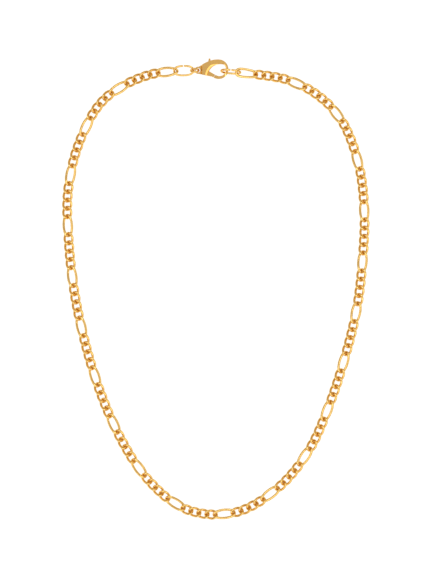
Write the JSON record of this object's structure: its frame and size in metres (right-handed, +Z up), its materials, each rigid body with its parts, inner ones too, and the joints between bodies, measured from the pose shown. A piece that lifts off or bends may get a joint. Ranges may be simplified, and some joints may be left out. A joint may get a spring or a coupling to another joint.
{
  "type": "figaro neck chain with lobster clasp",
  "caption": "Figaro neck chain: a closed loop of twisted oval links, short ones between long ones, closed by jump rings and a lobster clasp.",
  "frame": {"origin": "on the surface it lies on, at the middle of the loop's bounding box", "axes": "+Z up from the surface, +Y towards the clasp at the loop's narrow-shouldered top, +X to the right seen from above"},
  "size_m": [0.1164, 0.1746, 0.0044],
  "materials": {
    "chain_gold": "polished gold plate",
    "ring_gold": "polished gold plate, drawn wire",
    "clasp_gold": "polished gold plate, cast and tumbled"
  },
  "bodies": {
    "necklace": {"chain_right": "chain_gold", "chain_left": "chain_gold", "oval_ring_hook": "ring_gold", "oval_ring_eye": "ring_gold", "round_ring": "ring_gold", "clasp_body": "clasp_gold", "clasp_pin": "clasp_gold"},
    "lever": {"clasp_lever": "clasp_gold"}
  },
  "joints": [
    {"name": "lever_hinge", "type": "hinge", "parent": "necklace", "child": "lever", "pos_m": [-0.00435, 0.0832, 0.00165], "axis": [0, 0, 1], "range_deg": [0, 22], "stiffness_Nm_per_rad": 0.002, "springref_deg": -17.19}
  ]
}
